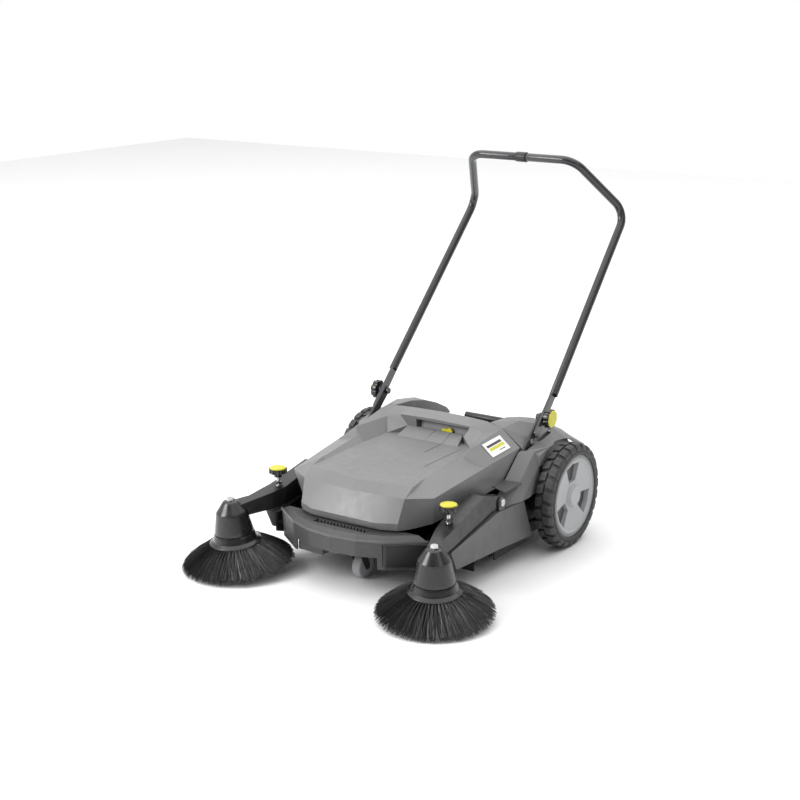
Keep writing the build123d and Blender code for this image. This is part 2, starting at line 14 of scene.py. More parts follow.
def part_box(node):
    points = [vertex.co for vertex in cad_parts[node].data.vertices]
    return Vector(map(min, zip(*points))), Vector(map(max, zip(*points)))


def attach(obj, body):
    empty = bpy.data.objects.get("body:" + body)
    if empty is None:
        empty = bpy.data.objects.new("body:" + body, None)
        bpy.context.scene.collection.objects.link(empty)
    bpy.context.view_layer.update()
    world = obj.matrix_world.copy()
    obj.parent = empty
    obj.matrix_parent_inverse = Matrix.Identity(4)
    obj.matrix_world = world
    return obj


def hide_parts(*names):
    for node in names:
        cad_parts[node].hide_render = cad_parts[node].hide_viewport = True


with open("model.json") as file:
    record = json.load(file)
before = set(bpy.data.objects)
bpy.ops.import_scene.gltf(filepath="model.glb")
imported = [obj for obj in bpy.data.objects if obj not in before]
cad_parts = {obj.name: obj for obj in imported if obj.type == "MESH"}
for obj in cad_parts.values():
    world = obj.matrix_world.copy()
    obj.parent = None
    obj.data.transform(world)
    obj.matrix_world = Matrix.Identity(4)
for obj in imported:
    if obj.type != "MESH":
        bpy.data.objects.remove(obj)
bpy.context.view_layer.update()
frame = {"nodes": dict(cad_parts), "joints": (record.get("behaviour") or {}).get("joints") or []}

LOG = logging.getLogger("sweeper")
MM = 0.001
MIDDLE_Y = 10.7               # mm from the drawing's datum plane to the middle of the machine
NODES = frame["nodes"]
JOINTS = {joint["name"]: joint for joint in frame["joints"]}

Point = tuple[float, float, float]
Face = tuple[int, ...]
Profile = tuple[tuple[float, float], ...]


class Side(Enum):
    """The two sides of the machine; the value is the sign of X."""

    RIGHT = 1
    LEFT = -1

    @property
    def tag(self) -> str:
        """The word that ends a node's name on this side."""
        return self.name.lower()


def spot(x: float, y: float, z: float) -> Vector:
    """Returns a point drawn in millimetres from the datum plane, in metres in the row frame."""
    return Vector((x, y + MIDDLE_Y, z)) * MM


# ---- finishes -----------------------------------------------------------
def mapped(tree: bpy.types.NodeTree, value: bpy.types.NodeSocket, old: tuple[float, float],
           new: tuple[float, float]) -> bpy.types.NodeSocket:
    """Adds a map from one range of values to another.

    Args:
        tree: The node tree.
        value: Socket with the value.
        old: The range that it comes from.
        new: The range that it goes to.

    Returns:
        The mapped value's socket.
    """
    ranged = tree.nodes.new("ShaderNodeMapRange")
    ranged.inputs["From Min"].default_value, ranged.inputs["From Max"].default_value = old
    ranged.inputs["To Min"].default_value, ranged.inputs["To Max"].default_value = new
    tree.links.new(value, ranged.inputs["Value"])
    return ranged.outputs["Result"]


@dataclass(frozen=True)
class Finish:
    """A surface finish: a wandering colour, a fine grain and a gloss that varies a little.

    Sizes are in metres. `mottle` is the share by which the colour wanders, and the edge lightening share is
    how far the outer edges are lightened, partly as rubbed wear and partly as a painted edge highlight.
    `gloss_spread` is how far the roughness wanders.
    """

    name: str
    colour: Point
    roughness: float = 0.5
    mottle: float = 0.06
    mottle_size: float = 0.06
    grain: float = 0.0012
    grain_height: float = 0.00006
    metallic: float = 0.0
    coat: float = 0.0
    wear: float = 0.0
    gloss_spread: float = 0.06
    gloss_size: float = 0.02
    coat_roughness: float = 0.18
    grain_strength: float = 0.6

    def material(self) -> bpy.types.Material:
        """Makes the finish's material on its first use.

        Returns:
            The material.
        """
        found = bpy.data.materials.get(self.name)
        if found:
            return found
        made = bpy.data.materials.new(self.name)
        made.use_nodes = True
        tree = made.node_tree
        shader = tree.nodes["Principled BSDF"]
        shader.inputs["Metallic"].default_value = self.metallic
        shader.inputs["Coat Weight"].default_value = self.coat
        shader.inputs["Coat Roughness"].default_value = self.coat_roughness
        place = tree.nodes.new("ShaderNodeTexCoord").outputs["Object"]
        tree.links.new(self._colour(tree, place), shader.inputs["Base Color"])
        gloss = self._noise(tree, place, self.gloss_size, 3.0)
        spread = mapped(tree, gloss, (0.3, 0.7), (max(self.roughness - self.gloss_spread, 0.05),
                                                  min(self.roughness + self.gloss_spread, 1.0)))
        tree.links.new(spread, shader.inputs["Roughness"])
        bump = tree.nodes.new("ShaderNodeBump")
        bump.inputs["Strength"].default_value = self.grain_strength
        bump.inputs["Distance"].default_value = self.grain_height
        tree.links.new(self._noise(tree, place, self.grain, 2.0), bump.inputs["Height"])
        tree.links.new(bump.outputs["Normal"], shader.inputs["Normal"])
        made.diffuse_color = (*self.colour, 1.0)
        return made

    def _noise(self, tree: bpy.types.NodeTree, place: bpy.types.NodeSocket, size: float,
               detail: float) -> bpy.types.NodeSocket:
        """Adds a noise.

        Args:
            tree: The material's node tree.
            place: Socket with the place on the piece.
            size: Feature size in metres.
            detail: Number of finer layers.

        Returns:
            The noise's value socket.
        """
        noise = tree.nodes.new("ShaderNodeTexNoise")
        noise.inputs["Scale"].default_value = 1 / size
        noise.inputs["Detail"].default_value = detail
        tree.links.new(place, noise.inputs["Vector"])
        return noise.outputs[0]

    def _colour(self, tree: bpy.types.NodeTree, place: bpy.types.NodeSocket) -> bpy.types.NodeSocket:
        """Adds the wandering colour and the lighter edges, which are rubbed wear and a painted edge
        highlight.

        Args:
            tree: The material's node tree.
            place: Socket with the place on the piece.

        Returns:
            The colour socket.
        """
        ramp = tree.nodes.new("ShaderNodeValToRGB")
        shares = (1 - self.mottle, 1 + self.mottle)
        for element, level, share in zip(ramp.color_ramp.elements, (0.35, 0.68), shares):
            element.position = level
            element.color = (*[min(c * share, 1.0) for c in self.colour], 1.0)
        tree.links.new(self._noise(tree, place, self.mottle_size, 5.0), ramp.inputs["Fac"])
        if not self.wear:
            return ramp.outputs["Color"]
        # Painted edge highlight with wear: sharp outer edges are mixed towards a lighter copy of the colour.
        edge = tree.nodes.new("ShaderNodeNewGeometry").outputs["Pointiness"]
        mix = tree.nodes.new("ShaderNodeMix")
        mix.data_type = "RGBA"
        base, worn_and_lit = [socket for socket in mix.inputs if socket.type == "RGBA"]
        worn_and_lit.default_value = (*[min(c * 1.6 + 0.05, 1.0) for c in self.colour], 1.0)
        tree.links.new(mapped(tree, edge, (0.51, 0.58), (0.0, self.wear)), mix.inputs["Factor"])
        tree.links.new(ramp.outputs["Color"], base)
        return next(socket for socket in mix.outputs if socket.type == "RGBA")


HOOD_GREY = Finish("hood_grey_satin", (0.175, 0.175, 0.178), 0.40, 0.045, 0.12, 0.0011, 0.00005, wear=0.25)
POD_GREY = Finish("pod_grey_textured", (0.092, 0.092, 0.095), 0.42, 0.07, 0.05, 0.0014, 0.0001, wear=0.3)
HOUSING_GREY = Finish("housing_grey_satin", (0.160, 0.160, 0.163), 0.43, 0.05, 0.1, 0.0011, 0.00005,
                      wear=0.25)
CHASSIS_GREY = Finish("chassis_grey_textured", (0.05, 0.05, 0.052), 0.46, 0.08, 0.05, 0.0014, 0.00012,
                      wear=0.3)
BLACK_PLASTIC = Finish("arm_black_plastic", (0.011, 0.011, 0.0115), 0.36, 0.1, 0.05, 0.0012, 0.0001,
                       wear=0.12)
BELL_BLACK = Finish("bell_black_satin", (0.0085, 0.0085, 0.009), 0.27, 0.05, 0.04, 0.001, 0.00004, coat=0.25)
TYRE_RUBBER = Finish("tyre_rubber", (0.026, 0.026, 0.027), 0.58, 0.15, 0.02, 0.0009, 0.00015, wear=0.35)
SOFT_RUBBER = Finish("seal_rubber", (0.018, 0.018, 0.018), 0.7, 0.12, 0.02, 0.001, 0.0001)
# Painted highlight: the strip's rubber grey is lightened to stand for the light along the bumper's ridge.
STRIP_RUBBER_HIGHLIGHT = Finish("bumper_strip_rubber", (0.11, 0.11, 0.113), 0.42, 0.08, 0.03, 0.001, 0.0001)
RIM_GREY = Finish("rim_grey", (0.15, 0.15, 0.152), 0.42, 0.05, 0.05, 0.001, 0.00005, wear=0.3)
# Painted highlight: a lighter copy of the rim's grey, for its bead.
BEAD_HIGHLIGHT_GREY = Finish("rim_bead_grey", (0.22, 0.22, 0.224), 0.36, 0.05, 0.05, 0.001, 0.00004)
# Painted shade: a darker copy of the rim's grey, for its recessed window floors.
WINDOW_SHADE_GREY = Finish("rim_window_grey", (0.085, 0.085, 0.087), 0.5, 0.08, 0.03)
ZINC = Finish("zinc_steel", (0.55, 0.55, 0.56), 0.28, 0.14, 0.008, 0.0006, 0.00002, metallic=1.0)
FRAME_PAINT = Finish("frame_powder_coat", (0.022, 0.022, 0.024), 0.38, 0.08, 0.03, 0.0008, 0.0001, wear=0.2)
TUBE_PAINT = Finish("tube_gloss_coat", (0.018, 0.019, 0.022), 0.24, 0.04, 0.06, 0.0009, 0.00001, coat=0.4)
YELLOW = Finish("knob_yellow", (0.60, 0.56, 0.012), 0.36, 0.05, 0.02, 0.0008, 0.00003, coat=0.2)
LABEL_WHITE = Finish("label_white", (0.86, 0.86, 0.84), 0.3, 0.02, 0.03, 0.0008, 0.00001, coat=0.4)
PRINT_BLACK = Finish("label_print", (0.03, 0.03, 0.03), 0.35, 0.05, 0.02)
SEAM_DARK = Finish("seam_shadow", (0.07, 0.07, 0.072), 0.7, 0.1, 0.02)
# Painted sheen: a grey copy of the black bristle, given to a share of the strands.
BRISTLE_SHEEN = Finish("bristle_grey", (0.06, 0.06, 0.062), 0.36, 0.3, 0.004, 0.0006, 0.00002)
BRISTLE = Finish("bristle_black", (0.014, 0.014, 0.015), 0.38, 0.35, 0.004, 0.0006, 0.00002)
FLOOR_PAINT = Finish("studio_floor_paint", (0.93, 0.93, 0.93), 0.7, 0.005, 0.8, 0.004, 0.00001)
CASTER_TREAD = Finish("caster_grey", (0.22, 0.22, 0.225), 0.5, 0.08, 0.02, 0.0009, 0.00006)
CONTAINER_GREY = Finish("container_grey", (0.075, 0.075, 0.078), 0.5, 0.08, 0.06, 0.0014, 0.00012, wear=0.2)
BELT = Finish("belt_rubber", (0.02, 0.02, 0.02), 0.65, 0.1, 0.02)


# ---- mesh work ----------------------------------------------------------
@dataclass
class Shape:
    """Points and faces of a piece that is being drawn, in metres."""

    points: list[Vector] = field(default_factory=list)
    faces: list[Face] = field(default_factory=list)

    def add(self, points: Sequence[Vector], faces: Sequence[Face]) -> "Shape":
        """Adds points and the faces between them, and returns the shape.

        Args:
            points: The new points.
            faces: Faces whose numbers count from the first new point.

        Returns:
            This shape.
        """
        start = len(self.points)
        self.points.extend(points)
        self.faces.extend(tuple(start + index for index in face) for face in faces)
        return self

    def loops(self, rings: Sequence[Sequence[Vector]], capped: bool = True) -> "Shape":
        """Adds a skin over a row of closed rings with the same number of points.

        Args:
            rings: The rings, in order.
            capped: Whether the two end rings get a face.

        Returns:
            This shape.
        """
        count = len(rings[0])
        faces: list[Face] = []
        for row in range(len(rings) - 1):
            for index in range(count):
                after = (index + 1) % count
                faces.append((row * count + index, row * count + after,
                              (row + 1) * count + after, (row + 1) * count + index))
        if capped:
            faces.append(tuple(reversed(range(count))))
            faces.append(tuple((len(rings) - 1) * count + index for index in range(count)))
        return self.add([point for ring in rings for point in ring], faces)

    def turned(self, outline: Sequence[tuple[float, float]], frame_of: Matrix, steps: int = 64) -> "Shape":
        """Adds a turned body about the Z axis of a frame.

        Args:
            outline: Closed half outline as (radius, height) in metres.
            frame_of: Where the axis stands.
            steps: Number of steps round the axis.

        Returns:
            This shape.
        """
        turns = [2 * math.pi * step / steps for step in range(steps)]
        rings = [[frame_of @ Vector((radius * math.cos(a), radius * math.sin(a), height)) for a in turns]
                 for radius, height in outline]
        return self.loops([*rings, rings[0]], capped=False)

    def block(self, frame_of: Matrix, low: Point, high: Point) -> "Shape":
        """Adds a box between two corners of a frame.

        Args:
            frame_of: The frame.
            low: Its low corner in that frame, in metres.
            high: Its high corner.

        Returns:
            This shape.
        """
        rings = [[frame_of @ Vector((x, y, z)) for x, y in
                  ((low[0], low[1]), (high[0], low[1]), (high[0], high[1]), (low[0], high[1]))]
                 for z in (low[2], high[2])]
        return self.loops(rings)


def closed_mesh(name: str, shape: Shape) -> bpy.types.Mesh:
    """Makes a mesh of a shape, with shared points joined and its faces turned outwards.

    Args:
        name: The mesh's name.
        shape: The shape.

    Returns:
        The mesh.
    """
    mesh = bpy.data.meshes.new(name)
    mesh.from_pydata(shape.points, [], shape.faces)
    work = bmesh.new()
    work.from_mesh(mesh)
    bmesh.ops.remove_doubles(work, verts=work.verts, dist=1e-6)
    bmesh.ops.recalc_face_normals(work, faces=work.faces)
    work.to_mesh(mesh)
    work.free()
    return mesh


def piece(name: str, shape: Shape, finish: Finish, body: str, *nodes: str, slot: str = "",
          bevel: float = 0.0, angle: float = 35.0) -> bpy.types.Object:
    """Turns a shape into a piece of the machine.

    Args:
        name: The piece's name.
        shape: Its points and faces.
        finish: Its finish.
        body: The body that it rides on.
        nodes: The nodes that it stands for.
        slot: The record's material slot; not used.
        bevel: Width by which its edges are rounded, in metres.
        angle: Edges sharper than this, in degrees, stay sharp and are rounded.

    Returns:
        The new object.
    """
    mesh = closed_mesh(name, shape)
    mesh.polygons.foreach_set("use_smooth", [True] * len(mesh.polygons))
    mesh.set_sharp_from_angle(angle=math.radians(angle))
    mesh.materials.append(finish.material())
    made = bpy.data.objects.new(name, mesh)
    bpy.context.scene.collection.objects.link(made)
    if bevel:
        round_edges(made, bevel, angle)
    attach(made, body)
    if nodes:
        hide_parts(*nodes)
    LOG.info("piece %s rides on %s", name, body)
    return made


def round_edges(thing: bpy.types.Object, width: float, angle: float = 30.0) -> None:
    """Rounds an object's edges without changing its own mesh.

    Args:
        thing: The object.
        width: Width of the rounding in metres.
        angle: Only edges sharper than this are rounded, in degrees.
    """
    weld = thing.modifiers.new("weld", "WELD")
    weld.merge_threshold = 0.00002
    bevel = thing.modifiers.new("rounding", "BEVEL")
    bevel.width = width
    bevel.segments = 3
    bevel.limit_method = "ANGLE"
    bevel.angle_limit = math.radians(angle)
    bevel.use_clamp_overlap = True
    bevel.miter_outer = "MITER_ARC"
    bevel.harden_normals = True


def keep(node: str, finish: Finish, rounding: float = 0.0, angle: float = 30.0) -> None:
    """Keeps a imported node, with its edges rounded and a detailed finish.

    Args:
        node: The node's name.
        finish: Its finish.
        rounding: Width of the edge rounding in metres.
        angle: Only edges sharper than this are rounded, in degrees.
    """
    thing = NODES[node]
    if not thing.material_slots:
        thing.data.materials.append(finish.material())
    for entry in thing.material_slots:
        entry.material = finish.material()
    if rounding:
        round_edges(thing, rounding, angle)
    LOG.info("node %s kept, finished in %s", node, finish.name)


def axis_frame(origin: Sequence[float], axis: Sequence[float]) -> Matrix:
    """Makes a frame whose Z lies along an axis.

    Args:
        origin: The frame's origin.
        axis: Direction of its Z.

    Returns:
        The frame.
    """
    turn = Vector(axis).to_track_quat("Z", "Y").to_matrix().to_4x4()
    return Matrix.Translation(Vector(origin)) @ turn


def strand(shape: Shape, path: Sequence[Vector], thick: float, tip: float) -> None:
    """Adds one bristle: a three-sided strand that thins towards its tip.

    Args:
        shape: The shape that it is added to.
        path: Points along the bristle.
        thick: Radius at the root, in metres.
        tip: Radius at the tip, in metres.
    """
    rings = []
    for index, point in enumerate(path):
        ahead = path[min(index + 1, len(path) - 1)] - path[max(index - 1, 0)]
        ahead.normalize()
        side = ahead.cross(Vector((0, 0, 1)))
        if side.length < 1e-4:
            side = ahead.cross(Vector((1, 0, 0)))
        side.normalize()
        over = side.cross(ahead)
        radius = thick + (tip - thick) * index / (len(path) - 1)
        rings.append([point + (side * math.cos(a) + over * math.sin(a)) * radius
                      for a in (0.0, 2 * math.pi / 3, 4 * math.pi / 3)])
    shape.loops(rings)


# ---- hood ---------------------------------------------------------------
# Corners of the right half in mm: F foot, W front crease, S shoulder, T and G the tray's rim and floor,
# N and C the ridge beside the tray, P and Q the ramp's foot and top, B the edge over the pocket,
# R the rear edge, M the middle of the back. A 0 stands on the middle plane.
HOOD_CORNERS: dict[str, Point] = {
    "F0": (0, -429, 177), "F1": (110, -425, 177), "F2": (152, -410, 177.5), "F3": (176, -386, 180),
    "F4": (211, -331, 186), "F5": (252, -58, 222), "W0": (0, -437, 198), "W1": (102, -437, 198),
    "W2": (155, -411, 198), "S0": (0, -402, 259), "S1": (98, -393, 259), "S2": (161, -388, 260),
    "S3": (226, -350, 263), "S4": (241, -130, 287.6), "S5": (255, 35, 305.3), "T0": (0, -377, 283),
    "T2": (111, -358, 283), "T3": (163, -353, 283), "T4": (166, -300, 294), "T5": (176, -130, 308),
    "N": (190, -115, 330), "C": (161, 1.4, 338), "B1": (117, 1.4, 351), "B0": (0, 1.4, 354),
    "R0": (0, 35, 369), "R1": (198, 35, 352), "R2": (150, 35, 364), "R3": (95, 35, 367),
    "G4": (158, -300, 287), "G5": (150, -130, 296), "G6": (138, -33, 301), "G7": (91, 4, 301),
    "P": (100, -38, 301), "P0": (0, -38, 301), "Q": (91, 3, 322), "Q0": (0, 3, 322), "M0": (0, 35, 305.3),
}
HOOD_FACES = (
    "F0 F1 W1 W0", "F1 F2 W2 W1", "W0 W1 S1 S0", "W1 W2 S2 S1", "W2 F2 F3 F4 S3 S2", "F4 F5 S5 S4 S3",
    "S0 S1 T2 T0", "S1 S2 T3 T2", "S2 S3 T4 T3", "S3 S4 T5 T4", "S4 N T5", "S4 S5 R1 N",
    "N R1 C", "R1 R2 C", "T3 T4 G4", "T4 T5 G5 G4", "T5 N G5", "N C G6 G5",
    "C R2 R3 B1", "B1 R3 R0 B0", "G6 C B1 Q", "G6 Q G7", "Q B1 B0 Q0", "P Q Q0 P0", "P G7 Q",
    "T0 T2 T3 G4 G5 P0", "G5 G6 P P0", "P G6 G7", "S5 M0 R0 R3 R2 R1",
)


@dataclass
class Hood:
    """The faceted hood with its tray, grip pocket, data plate and moulding lines."""

    rounding: float = 0.0026
    skin: float = 0.004
    line_width: float = 1.1
    print_height: float = 1.75
    pocket: tuple[float, float] = (-62.0, 112.0)
    soft_bend: tuple[float, float] = (96.0, 112.0)
    soft_front: float = -0.3
    crease_angle: float = 9.0
    panel_overlap: float = 2.0
    panel_gap: float = 0.2
    groove_width: float = 3.2
    pocket_profile: Profile = ((-1, 322), (-1, 345), (24, 345), (14, 314), (7, 314), (7, 322))
    panel_profile: Profile = (
        (24, 346), (14, 314), (7, 314), (7, 322), (5, 322), (5, 311), (16, 311), (27, 346))
    end_profile: Profile = ((3.2, 322), (3.2, 345), (24, 345), (14, 314), (7, 314))
    lines: tuple[tuple[Point, ...], ...] = (
        ((2, 2.4, 322), (-9, -37, 301.2)),
        ((52, 2.4, 322), (50, -37, 301.2), (46, -120, 297)),
        ((120, -52, 300.2), (107, -215, 291.6)),
    )

    def build(self) -> None:
        """Builds the shell and adds what is on it."""
        self._shell()
        self._panel()
        self._outline()
        self._lines()
        self._plate()
        LOG.info("hood built")

    def _shell(self) -> None:
        """Builds the shell from its right half and its mirror, and cuts the grip pocket."""
        shape = Shape()
        names = list(HOOD_CORNERS)
        for sign in (1, -1):
            points = [spot(sign * x, y, z) for x, y, z in HOOD_CORNERS.values()]
            faces = [tuple(names.index(name) for name in face.split()) for face in HOOD_FACES]
            shape.add(points, [face if sign == 1 else face[::-1] for face in faces])
        made = piece("hood_shell", shape, HOOD_GREY, "chassis", "hood", slot="hood_grey", angle=180)
        wall = made.modifiers.new("wall", "SOLIDIFY")
        wall.thickness = self.skin
        wall.offset = -1
        room = Shape().loops([[spot(x, y, z) for y, z in self.pocket_profile] for x in self.pocket])
        cutter = bpy.data.objects.new("pocket", closed_mesh("pocket", room))
        bpy.context.scene.collection.objects.link(cutter)
        cut = made.modifiers.new("pocket", "BOOLEAN")
        cut.object = cutter
        cut.operation = "DIFFERENCE"
        cut.solver = "EXACT"
        carved = bpy.data.meshes.new_from_object(made.evaluated_get(bpy.context.evaluated_depsgraph_get()))
        made.modifiers.clear()
        made.data = carved
        bpy.data.objects.remove(cutter)
        self._mark_creases(carved)
        round_edges(made, self.rounding, self.crease_angle)
        made.modifiers["rounding"].limit_method = "WEIGHT"

    def _mark_creases(self, mesh: bpy.types.Mesh) -> None:
        """Marks the creases to be rounded, and leaves the front face's own bends soft.

        Args:
            mesh: The carved shell's mesh.
        """
        work = bmesh.new()
        work.from_mesh(mesh)
        weight = work.edges.layers.float.new("bevel_weight_edge")
        low_x, high_x = (value * MM for value in self.soft_bend)
        sharp = math.radians(self.crease_angle)
        for edge in work.edges:
            soft = all(low_x < abs(vert.co.x) < high_x and vert.co.y < self.soft_front
                       for vert in edge.verts)
            if len(edge.link_faces) == 2 and not soft and edge.calc_face_angle(0.0) > sharp:
                edge[weight] = 1.0
        work.to_mesh(mesh)
        work.free()

    def _panel(self) -> None:
        """The pocket's sloping panel, its floor and its end walls."""
        low_x, high_x = self.pocket
        out_low, out_high = low_x - self.panel_overlap, high_x + self.panel_overlap
        shape = Shape().loops([[spot(x, y, z) for y, z in self.panel_profile] for x in (out_low, out_high)])
        for near, far in ((out_low, low_x - self.panel_gap), (high_x + self.panel_gap, out_high)):
            shape.loops([[spot(x, y, z) for y, z in self.end_profile] for x in (near, far)])
        piece("pocket_panel", shape, HOOD_GREY, "chassis", slot="hood_grey", bevel=0.0005)

    def _outline(self) -> None:
        """The dark groove round the pocket's panel."""
        shape = Shape()
        low_x, high_x = self.pocket[0] + 1, self.pocket[1] - 1
        top_y, top_z, foot_y, foot_z = 22.6, 342.5, 14.9, 318.5
        lift = Vector((0, -0.5, 0.16))
        corners = [(low_x, top_y, top_z), (high_x, top_y, top_z),
                   (high_x - 3, foot_y, foot_z), (low_x + 3, foot_y, foot_z)]
        middle = Vector([sum(values) / 4 for values in zip(*corners)])
        for start, end in zip(corners, corners[1:] + corners[:1]):
            rings = []
            for corner in (start, end):
                outer = Vector(corner)
                inner = outer + (middle - outer).normalized() * self.groove_width
                rings.append([spot(*outer), spot(*inner), spot(*(inner + lift)), spot(*(outer + lift))])
            shape.loops(rings)
        piece("pocket_outline", shape, SEAM_DARK, "chassis", slot="hood_grey")

    def _lines(self) -> None:
        """Fine moulding lines across the tray and its ramp."""
        shape = Shape()
        half = self.line_width / 2
        section = ((-half, 0.05), (half, 0.05), (half, 0.45), (-half, 0.45))
        for line in self.lines:
            for start, end in zip(line, line[1:]):
                rings = [[spot(x + dx, y, z + dz) for dx, dz in section] for x, y, z in (start, end)]
                shape.loops(rings)
        piece("hood_lines", shape, SEAM_DARK, "chassis", slot="hood_grey")

    def _plate(self) -> None:
        """The plate on the hood's slope, with a plain printed stripe."""
        keep("label_plate", LABEL_WHITE, 0.0004, 40)
        low, high = Vector((249.0, -35.0, 297.8)), Vector((195.5, -35.0, 342.2))
        along = Vector((14, 165, 17.7)).normalized()
        normal = along.cross(high - low).normalized()
        middle = low + (high - low) * 0.52
        seat = Matrix((along, normal.cross(along), normal)).transposed().to_4x4()
        seat.translation = spot(*middle)
        for name, finish, (low_x, high_x), (low_y, high_y) in (
                ("plate_stripe", YELLOW, (-31, 33), (-6.5, 2.5)),
                ("plate_bar", PRINT_BLACK, (-33, 30), (5.5, 13.0)),
                ("plate_line", PRINT_BLACK, (2, 26), (-15.0, -12.5))):
            shape = Shape().block(seat, (low_x * MM, low_y * MM, self.print_height * MM),
                                  (high_x * MM, high_y * MM, (self.print_height + 0.2) * MM))
            piece(name, shape, finish, "chassis", bevel=0.00006)


# ---- front bumper and chassis -------------------------------------------
@dataclass
class Chassis:
    """Bumper, side covers, rear housings, frame and seals."""

    slot_teeth: int = 15
    slot_half: float = 80.0
    tooth_share: float = 0.56
    tooth_foot: tuple[float, float] = (-431.9, 164.0)
    tooth_top: tuple[float, float] = (-438.0, 172.2)

    def build(self) -> None:
        """Dresses the chassis and adds its details."""
        keep("front_bumper", CHASSIS_GREY, 0.0022, 22)
        # The strip's lighter grey is a painted highlight along the bumper's ridge.
        keep("bumper_strip", STRIP_RUBBER_HIGHLIGHT, 0.0009, 40)
        keep("skirt_block", CHASSIS_GREY, 0.002, 30)
        keep("chassis_frame", BLACK_PLASTIC, 0.001, 30)
        keep("floor_seals", SOFT_RUBBER, 0.0006, 40)
        keep("arm_pins", ZINC, 0.0008, 40)
        keep("strap_bolts", ZINC, 0.001, 40)
        for side in Side:
            keep(f"side_pod_{side.tag}", POD_GREY, 0.0018, 25)
            keep(f"pivot_cover_{side.tag}", CHASSIS_GREY, 0.0012, 30)
            keep(f"rear_housing_{side.tag}", HOUSING_GREY, 0.0024, 14)
            keep(f"handle_strap_{side.tag}", FRAME_PAINT, 0.0012, 35)
        self._teeth()
        self._recess()
        LOG.info("chassis built")

    def _recess(self) -> None:
        """The bumper's right front recess: a dark panel of painted shade on its floor and a light strip of
        painted highlight along the edge above it.
        """
        start, end = Vector((150.0, -456.1, 0.0)), Vector((236.0, -393.5, 0.0))
        along = (end - start).normalized()
        outward = Vector((along.y, -along.x, 0.0))
        # Painted shade on the recess floor, and a painted highlight on its upper edge.
        for name, finish, low, high, near, far in (("bumper_recess", BLACK_PLASTIC, 93.0, 151.0, -2.0, -1.2),
                                                   ("recess_edge", STRIP_RUBBER_HIGHLIGHT, 152.0, 154.0, -2.0, -0.2)):
            section = [outward * out + Vector((0, 0, z))
                       for z, out in ((low, near), (low, far), (high, far), (high, near))]
            shape = Shape().loops([[spot(*(stop + offset)) for offset in section] for stop in (start, end)])
            piece(name, shape, finish, "chassis", slot="chassis_grey", bevel=0.0002)

    def _teeth(self) -> None:
        """The comb of small ribs over the front grip slot."""
        shape = Shape()
        pitch = 2 * self.slot_half / self.slot_teeth
        half = pitch * self.tooth_share / 2
        for index in range(self.slot_teeth):
            x = -self.slot_half + pitch * (index + 0.5)
            low, high = spot(x - half, *self.tooth_foot), spot(x + half, *self.tooth_top)
            corner_low = tuple(min(a, b) for a, b in zip(low, high))
            corner_high = tuple(max(a, b) for a, b in zip(low, high))
            shape.block(Matrix.Identity(4), corner_low, corner_high)
        piece("grip_slot_comb", shape, CHASSIS_GREY, "chassis", slot="chassis_grey", bevel=0.0006)


